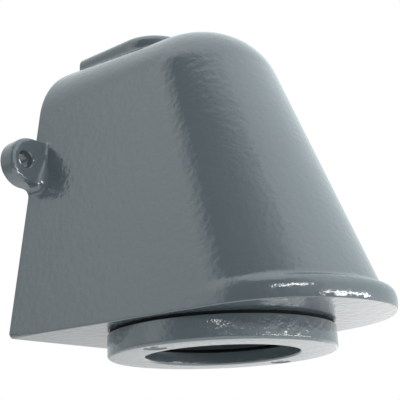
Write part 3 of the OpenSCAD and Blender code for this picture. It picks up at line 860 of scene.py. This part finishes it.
def close_underside(form, skin, measure):
    """Cuts the skin level just above the underside and closes it with a rounded edge."""
    level, steps = form.s["rim_radius"], 4
    with mesh_edit(skin.data) as edit:
        slice_off(edit, (0, 0, level), (0, 0, 1), clear_inner=True)
        border = [v for v in edit.verts if v.is_boundary]
        bmesh.ops.remove_doubles(edit, verts=border, dist=SLIVER)
        border = [v for v in edit.verts if v.is_boundary]
        loop = [e for e in edit.edges if e.is_boundary]
        p = np.array([v.co[:] for v in border])
        _, n = hood_distance(form, measure, p)
        n = unit(n * np.array([1.0, 1.0, 0.0]))
        r = form.rim(p[:, 1])
        tilt = np.arcsin(np.clip((r - level) / r, 0, 1))
        base = p + n * (r - r * np.cos(tilt))[:, None]
        last = {v: v for v in border}
        for k in range(1, steps + 1):
            a = tilt + (QUARTER - tilt) * k / steps
            spots = base - n * (r - r * np.cos(a))[:, None]
            spots[:, 2] = r - r * np.sin(a)
            fresh = {v: edit.verts.new(spot) for v, spot in zip(border, spots)}
            for one, two in (e.verts for e in loop):
                edit.faces.new((last[one], last[two], fresh[two], fresh[one]))
            last = fresh
        close_up(edit)


def trim_back(piece):
    """Cuts the piece off flat at the wall face."""
    with mesh_edit(piece.data) as edit:
        slice_off(edit, (0, 0, 0), (0, 1, 0), clear_outer=True)
        close_up(edit)


# ------------------------ openings and bosses

# Depth of the rebate for the back plate, and the wall left beside it.
LEDGE = 7.2
REBATE_WALL = 2.2
# Bosses for the back plate's screws, and how far they stand in from the walls.
BOSS_R = 5.5
BOSS_LENGTH = 14.0
LOW_BOSS_Z = 16.0
LOW_BOSS_INSET = 8.4
BOSS_SETBACK = 7.2
HIGH_BOSS_TURN = math.radians(42)
TAPPED_R = 1.65
# Bosses and holes for the ring's screws.
RING_BOSS_R = 5.0
RING_BOSS_H = 6.5
RING_SCREW_R = 2.1
# The conduit entry in the pad and the recess round its plug.
ENTRY_R = 9.3
RECESS_R = 12.7
RECESS_DEPTH = 4.0


def plate_screw_spots(form):
    """Places of the four bosses behind the back plate, as (x, height)."""
    low = form.half_w(LOW_BOSS_Z, LEDGE + BOSS_LENGTH) - LOW_BOSS_INSET
    reach = form.s["crown_radius"] - form.s["wall"] - BOSS_SETBACK
    high = form.crown_x + reach * math.cos(HIGH_BOSS_TURN)
    high_z = form.crown_z + reach * math.sin(HIGH_BOSS_TURN)
    return ((low, LOW_BOSS_Z), (-low, LOW_BOSS_Z), (high, high_z), (-high, high_z))


def rebate_form(form):
    """A prism with the hood's outline at the wall, as deep as the back plate's rebate."""
    corner, crown = 2.0, form.s["crown_radius"] - REBATE_WALL
    low = REBATE_WALL + corner
    foot = form.foot_x(corner, low, REBATE_WALL)
    points = []
    for side in (-1, 1):
        for r, x, z in ((corner, foot, low), (crown, form.crown_x, form.crown_z)):
            for px, pz in circle((side * x, z), r, 96):
                points += [(px, -d, pz) for d in (-1, LEDGE)]
    return hull_of("rebate", points)


def hood_bosses(form, ring_y, screw_x):
    """Bosses over the ring's screws and behind the back plate."""
    deck = form.s["deck"]
    bosses = [
        rod("boss", RING_BOSS_R, deck - 1, deck + RING_BOSS_H, (m * screw_x, -ring_y, 0))
        for m in (-1, 1)
    ]
    for x, z in plate_screw_spots(form):
        bosses.append(rod("boss", BOSS_R, LEDGE - 2, LEDGE + BOSS_LENGTH, (x, 0, z), "Y"))
    return bosses


def hood_holes(form, ring_y, screw_x, opening):
    """The light opening, the lug and screw holes and the conduit entry."""
    s = form.s
    holes = [rod("opening", opening, -1, s["deck"] + 1, (0, -ring_y, 0), "Z", 144)]
    r, t, top = s["lug_hole"], s["lug_thickness"], s["pad_height"]
    flare = [(r, t - 0.7), (r + 0.25, t - 0.25), (r + 1.0, t + 0.3), (0, t + 0.3)]
    for m in (-1, 1):
        spot = (m * s["lug_pitch"] / 2, 0, FIX_H)
        holes.append(lathe("lug hole", [(0, -1), (r, -1), *flare], spot, 96, "Y"))
        spot = (m * screw_x, -ring_y, 0)
        holes.append(rod("screw hole", RING_SCREW_R, -1, s["deck"] + 5, spot, "Z", 32))
    for x, z in plate_screw_spots(form):
        deep = LEDGE + BOSS_LENGTH - 1
        holes.append(rod("tapped hole", TAPPED_R, LEDGE - 3, deep, (x, 0, z), "Y", 32))
    profile = [
        (0, -20),
        (ENTRY_R, -20),
        (ENTRY_R, top - RECESS_DEPTH),
        (RECESS_R, top - RECESS_DEPTH),
        (RECESS_R, top - 0.35),
        (RECESS_R + 0.5, top + 0.2),
        (RECESS_R + 0.5, top + 2),
        (0, top + 2),
    ]
    entry = lathe("entry", profile, (0, -s["pad_distance"], 0), 96)
    lift = Matrix.Translation((0, 0, s["body_height"]))
    entry.data.transform(lift @ Matrix.Rotation(form.ridge, 4, "X"))
    return holes + [entry]


def place_from_underside(piece):
    """Moves a mesh in millimetres from the underside to metres from the fixing holes."""
    piece.data.transform(Matrix.Scale(MM, 4) @ Matrix.Translation((0, 0, -FIX_H)))
    piece.data.update()


class WALLLIGHT_OT_cast_hood(bpy.types.Operator):
    """Builds the casting with its fillets, hollow inside, openings and bosses"""

    bl_idname = "wall_light.cast_hood"
    bl_label = "Cast the hood"

    def execute(self, context):
        ring = context.scene.wall_light_ring
        form = HoodForm(context.scene.wall_light_hood)
        s = form.s
        ring_y, screw_x = ring.distance / MM, ring.screw / MM
        skin = cast_skin(form)
        trim_back(skin)
        inside = form.shell_points(s["wall"], s["deck"], HOLLOW_EDGE, (-2, 1), 0.5)
        cut(skin, [hull_of("hollow", inside), rebate_form(form)])
        cut(skin, hood_bosses(form, ring_y, screw_x), "UNION")
        cut(skin, hood_holes(form, ring_y, screw_x, ring.aperture / MM + 0.9))
        skin.name = "hood_casting"
        place_from_underside(skin)
        smooth_faces(skin, 32)
        for face in skin.data.polygons:
            on_underside = abs(face.center.z + FIX_H * MM) < 1e-6
            if on_underside and face.normal.z < -0.9999:
                face.use_smooth = False
        tint = tuple(context.scene.wall_light_colours.paint)
        coat_piece(skin, gloss_paint("hood paint", tint, 440.0, 1400.0, 0.00018))
        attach(skin, "root")
        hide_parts("hood")
        return {"FINISHED"}


# ------------------------ the lens ring


class WALLLIGHT_OT_turn_ring(bpy.types.Operator):
    """Turns the lens ring with its rounded edges, seat and countersunk holes"""

    bl_idname = "wall_light.turn_ring"
    bl_label = "Turn the lens ring"

    def execute(self, context):
        r = context.scene.wall_light_ring
        top = -r.gap / MM
        bottom = top - r.height / MM
        outer, inner, seat = r.radius / MM, r.aperture / MM, r.seat / MM
        land = bottom + r.land / MM
        edge, upper, sill, mouth = r.edge / MM, 0.35, 0.2, 0.9
        profile = [
            *arc((outer - edge, bottom + edge), edge, -QUARTER, 0, 12),
            *arc((outer - upper, top - upper), upper, 0, QUARTER, 5),
            (seat, top),
            (seat, land),
            *arc((inner + sill, land - sill), sill, QUARTER, 2 * QUARTER, 3),
            *arc((inner + mouth, bottom + mouth), mouth, 2 * QUARTER, 3 * QUARTER, 8),
        ]
        ring = lathe("lens_ring_turned", profile, (0, -r.distance / MM, 0), 288)
        head, shank = 4.4, 2.7
        sink = [
            (0, bottom - 0.4),
            (head + 0.5, bottom - 0.4),
            (head + 0.22, bottom - 0.02),
            (head, bottom + 0.25),
            (shank, bottom + 1.95),
            (shank, top + 1),
            (0, top + 1),
        ]
        spots = [(m * r.screw / MM, -r.distance / MM, 0) for m in (-1, 1)]
        cut(ring, [lathe("countersink", sink, spot, 72) for spot in spots])
        place_from_underside(ring)
        smooth_faces(ring, 28)
        tint = tuple(context.scene.wall_light_colours.paint)
        coat_piece(ring, gloss_paint("ring paint", tint, 540.0, 1700.0, 0.00023))
        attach(ring, "root")
        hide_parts("lens_ring")
        return {"FINISHED"}


# ------------------------ finishes of the solids


def dress(material, names, edge=0.0, segments=2, smooth=0):
    """Gives solids a material, with a fine rounded edge or only smooth shading."""
    for name in names:
        piece = NODES[name]
        coat_piece(piece, material)
        if edge:
            smooth_faces(piece, 30)
            step = piece.modifiers.new("edge", "BEVEL")
            step.width = edge
            step.segments = segments
            step.limit_method = "ANGLE"
            step.angle_limit = math.radians(35)
            step.harden_normals = False
        elif smooth:
            smooth_faces(piece, smooth)


class WALLLIGHT_OT_dress_seals(bpy.types.Operator):
    """Finishes the gaskets, the cable grommet and the stopping plug"""

    bl_idname = "wall_light.dress_seals"
    bl_label = "Dress the seals"

    def execute(self, context):
        c = context.scene.wall_light_colours
        rubber = moulded("seal rubber", tuple(c.rubber), 0.75, 2400.0, 0.000012, 1.3)
        dress(rubber, ("ring_gasket", "back_gasket"), 0.0001)
        dress(rubber, ("lens_gasket", "entry_plug_seal"))
        dress(rubber, ("cable_grommet",), 0.00035, 3)
        nylon = moulded("plug nylon", tuple(c.nylon), 0.34, 2000.0, 0.00001)
        dress(nylon, ("entry_plug",), 0.00035, 3)
        return {"FINISHED"}


class WALLLIGHT_OT_dress_glass(bpy.types.Operator):
    """Finishes the pane of the lens ring and the lamp's own front glass"""

    bl_idname = "wall_light.dress_glass"
    bl_label = "Dress the glass"

    def execute(self, context):
        # The pane's grey tint, much darker than the lamp's clear glass, is painted shade: it
        # stands in for the dark inside behind the opening.
        pane = clear_glass("lens glass", (0.42, 0.46, 0.45), 0.15)
        dress(pane, ("lens_glass",), 0.0002)
        dress(clear_glass("lamp glass", (0.92, 0.94, 0.94)), ("lamp_front_glass",), 0.0002)
        return {"FINISHED"}


class WALLLIGHT_OT_dress_lamp(bpy.types.Operator):
    """Finishes the reflector lamp and its holder"""

    bl_idname = "wall_light.dress_lamp"
    bl_label = "Dress the lamp"

    def execute(self, context):
        clay = tuple(context.scene.wall_light_colours.ceramic)
        pale = shade(clay, 1.08)[:3]
        bright = bare_metal(
            "lamp reflector", (0.7, 0.71, 0.72), (1, 1, 0.1), 700.0, 0.16, 0.00001
        )
        pins = bare_metal("pin metal", (0.62, 0.63, 0.64), (1, 1, 6), 1800.0, 0.22)
        dress(bright, ("lamp_reflector",), 0.0001)
        dress(pins, ("lamp_pins",), 0.0001)
        dress(moulded("lamp ceramic", clay, 0.55, 1400.0, 0.00002), ("lamp_base",), 0.0005, 3)
        holder = moulded("holder ceramic", pale, 0.4, 1100.0, 0.00002)
        dress(holder, ("lamp_holder",), 0.0005, 3)
        return {"FINISHED"}


class WALLLIGHT_OT_dress_metalwork(bpy.types.Operator):
    """Finishes the back plate, the bracket, the rivets and the screws"""

    bl_idname = "wall_light.dress_metalwork"
    bl_label = "Dress the metalwork"

    def execute(self, context):
        c = context.scene.wall_light_colours
        even = (1, 1, 1)
        rolled = bare_metal(
            "rolled aluminium", tuple(c.aluminium), (1, 1, 0.03), 2600.0, 0.3, 0.000006
        )
        zinc = bare_metal("zinc plate", tuple(c.zinc), even, 260.0, 0.34, 0.000008)
        rivet = bare_metal("rivet aluminium", (0.64, 0.65, 0.66), even, 900.0, 0.36, 0.00001)
        steel = bare_metal("stainless steel", tuple(c.steel), even, 2200.0, 0.16, 0.000008)
        dress(rolled, ("back_plate",), 0.0002)
        dress(zinc, ("holder_bracket",), 0.0002)
        dress(rivet, ("bracket_rivets",), 0.00015)
        dress(steel, ("ring_screws", "holder_screws", "back_plate_screws"), 0.00015)
        dress(steel, ("terminal_block_screws",), smooth=35)
        return {"FINISHED"}


class WALLLIGHT_OT_dress_wiring(bpy.types.Operator):
    """Finishes the terminals, the earth tag and the three inner leads"""

    bl_idname = "wall_light.dress_wiring"
    bl_label = "Dress the wiring"

    def execute(self, context):
        c = context.scene.wall_light_colours
        block = moulded("terminal plastic", (0.66, 0.63, 0.5), 0.42, 2300.0, 0.00001)
        brass = bare_metal("terminal brass", tuple(c.brass), (1, 1, 1), 1900.0, 0.24)
        tinned = bare_metal("tinned brass", (0.66, 0.58, 0.4), (1, 1, 1), 1200.0, 0.3)
        brown = moulded("brown sleeve", (0.12, 0.045, 0.02), 0.45, 3200.0, 0.000006)
        blue = moulded("blue sleeve", (0.02, 0.08, 0.36), 0.45, 3200.0, 0.000006)
        dress(block, ("terminal_block",), 0.0002)
        dress(brass, ("terminal_clamp_screws", "earth_screw"), 0.0002)
        dress(tinned, ("earth_tag",), smooth=35)
        dress(brown, ("lead_live",), smooth=35)
        dress(blue, ("lead_neutral",), smooth=35)
        dress(earth_sleeve("earth sleeve"), ("lead_earth",), smooth=35)
        return {"FINISHED"}


# ------------------------ the stage

# Brightness of the studio round the object: degrees from straight out, towards +X.
STUDIO_WALL = (
    (-180, 0.95),
    (-134, 0.8),
    (-127, 1.08),
    (-120, 1.15),
    (-113, 1.04),
    (-97, 0.2),
    (-60, 0.24),
    (-42, 0.4),
    (-20, 0.76),
    (-8, 1.25),
    (20, 1.42),
    (70, 1.34),
    (100, 1.28),
    (150, 1.0),
    (180, 0.95),
)
STUDIO_GROUND = (
    (-180, 0.75),
    (-150, 0.5),
    (-130, 0.35),
    (-40, 0.2),
    (0, 0.5),
    (60, 1.35),
    (100, 1.88),
    (114, 1.8),
    (124, 1.1),
    (132, 0.98),
    (142, 0.76),
    (150, 0.7),
    (180, 0.75),
)
# Tints of the studio: left of the object, right of it, and under it.
TINT_LEFT = (0.94, 1, 1.015, 1)
TINT_RIGHT = (0.915, 1, 1.02, 1)
TINT_GROUND = (1, 1, 0.985, 1)
WHITE = (1, 1, 1, 1)

# The camera that the photograph was taken with, in the frame's metres.
CAMERA_PLACE = Vector((-0.247705, -0.263374, -0.123303))
CAMERA_RIGHT = Vector((0.655768, -0.753792, -0.042025))
CAMERA_UP = Vector((-0.208809, -0.234585, 0.949404))
CAMERA_AHEAD = Vector((0.725512, 0.613814, 0.311232))
CAMERA_LENS = 72.52


def add_floor(drop):
    """A pale paper floor under the object."""
    half = 0.8
    corners = [(x * half, y * half, -drop) for x, y in ((-1, -1), (1, -1), (1, 1), (-1, 1))]
    floor = link_mesh("studio_floor", mesh_from("studio floor", corners, [(0, 1, 2, 3)]))
    paper, t, surface, _ = new_material("floor paper")
    pale = (0.93, 0.93, 0.93, 1)
    t.fill(surface, {"Base Color": pale, "Roughness": 0.9, "Specular IOR Level": 0.1})
    coat_piece(floor, paper)


def add_studio(scene, ceiling):
    """A pale studio round the object, plain white to the camera."""
    world = bpy.data.worlds.new("studio")
    scene.world = world
    world.use_nodes = True
    world.node_tree.nodes.clear()
    w = Tree(world.node_tree)
    way = w.add("ShaderNodeTexCoord").outputs["Generated"]
    x, y, z = w.add("ShaderNodeSeparateXYZ", {"Vector": way}).outputs
    azimuth = w.math("ARCTAN2", x, w.math("MULTIPLY", y, -1.0))
    to_turn = {0: azimuth, 1: 0.5 / math.pi, 2: 0.5}
    turn = w.add("ShaderNodeMath", to_turn, operation="MULTIPLY_ADD").outputs[0]
    wall = w.math("MULTIPLY", w.steps(turn, STUDIO_WALL), w.span(z, 0.26, 0.66, 0.84, 1.12))
    top = w.span(z, math.sin(math.radians(54)), math.sin(math.radians(68)))
    under = w.span(z, 0.02, -0.06)
    level = w.mix(top, w.mix(under, wall, w.steps(turn, STUDIO_GROUND)), ceiling)
    seen = w.add("ShaderNodeLightPath").outputs["Is Camera Ray"]
    side = w.blend(w.span(x, -0.2, 0.4), TINT_LEFT, TINT_RIGHT)
    tint = w.blend(seen, w.blend(under, side, TINT_GROUND), WHITE)
    light = {"Color": tint, "Strength": w.mix(seen, level, 1.0)}
    back = w.add("ShaderNodeBackground", light)
    w.add("ShaderNodeOutputWorld", {"Surface": back.outputs[0]})


def add_lamp(name, azimuth, elevation, aim, width, height, level):
    """A flat soft lamp on a bearing from the object, whose face shows at that brightness."""
    a, e = math.radians(azimuth), math.radians(elevation)
    way = Vector((math.sin(a) * math.cos(e), -math.cos(a) * math.cos(e), math.sin(e)))
    middle, distance = Vector((0, -0.07, -0.01)), 1.3
    data = bpy.data.lights.new(name, "AREA")
    data.shape = "RECTANGLE"
    data.size, data.size_y = width, height
    data.energy = level * math.pi * width * height
    lamp = bpy.data.objects.new(name, data)
    lamp.location = middle + way * distance
    lamp.rotation_euler = (Vector(aim) - lamp.location).to_track_quat("-Z", "Y").to_euler()
    bpy.context.scene.collection.objects.link(lamp)


def add_camera(scene):
    """The camera, where the photograph was taken from."""
    data = bpy.data.cameras.new("view")
    data.sensor_width = 36.0
    data.lens = CAMERA_LENS
    data.clip_start, data.clip_end = 0.01, 100.0
    camera = bpy.data.objects.new("view", data)
    turn = Matrix((CAMERA_RIGHT, CAMERA_UP, -CAMERA_AHEAD)).transposed()
    camera.matrix_world = Matrix.Translation(CAMERA_PLACE) @ turn.to_4x4()
    scene.collection.objects.link(camera)
    scene.camera = camera


class WALLLIGHT_OT_set_stage(bpy.types.Operator):
    """Sets the floor, the pale surroundings, the lamps and the camera"""

    bl_idname = "wall_light.set_stage"
    bl_label = "Set the stage"

    def execute(self, context):
        scene = context.scene
        stage = scene.wall_light_stage
        add_floor(stage.floor_drop)
        add_studio(scene, stage.soft_level)
        add_lamp("front strip lamp", -41, 18, (0, -0.1, -0.06), 0.7, 0.14, 12.0)
        add_lamp("low strip lamp", 12, -5, (0, -0.1, -0.07), 1.2, 0.1, 14.5)
        add_camera(scene)
        scene.view_settings.view_transform = "Standard"
        return {"FINISHED"}


# ------------------------ the add-on


class WALLLIGHT_PT_panel(bpy.types.Panel):
    """Sizes, colours and build steps of the wall light"""

    bl_idname = "WALLLIGHT_PT_panel"
    bl_label = "Wall light"
    bl_space_type = "VIEW_3D"
    bl_region_type = "UI"
    bl_category = "Wall light"

    def draw(self, context):
        for holder in GROUPS:
            group = getattr(context.scene, holder)
            box = self.layout.box()
            for key in group.__annotations__:
                box.prop(group, key)
        for step in STEPS:
            self.layout.operator(step.bl_idname)


GROUPS = {
    "wall_light_hood": HoodSizes,
    "wall_light_ring": RingSizes,
    "wall_light_colours": FinishColours,
    "wall_light_stage": StageSizes,
}
STEPS = (
    WALLLIGHT_OT_cast_hood,
    WALLLIGHT_OT_turn_ring,
    WALLLIGHT_OT_dress_seals,
    WALLLIGHT_OT_dress_glass,
    WALLLIGHT_OT_dress_lamp,
    WALLLIGHT_OT_dress_metalwork,
    WALLLIGHT_OT_dress_wiring,
    WALLLIGHT_OT_set_stage,
)


def register():
    for kind in (*GROUPS.values(), *STEPS, WALLLIGHT_PT_panel):
        bpy.utils.register_class(kind)
    for name, kind in GROUPS.items():
        setattr(bpy.types.Scene, name, PointerProperty(type=kind))


def unregister():
    for name in GROUPS:
        delattr(bpy.types.Scene, name)
    for kind in reversed((*GROUPS.values(), *STEPS, WALLLIGHT_PT_panel)):
        bpy.utils.unregister_class(kind)


def main():
    """Builds the whole wall light."""
    register()
    bpy.ops.wall_light.cast_hood()
    bpy.ops.wall_light.turn_ring()
    bpy.ops.wall_light.dress_seals()
    bpy.ops.wall_light.dress_glass()
    bpy.ops.wall_light.dress_lamp()
    bpy.ops.wall_light.dress_metalwork()
    bpy.ops.wall_light.dress_wiring()
    bpy.ops.wall_light.set_stage()


if __name__ == "__main__":
    main()
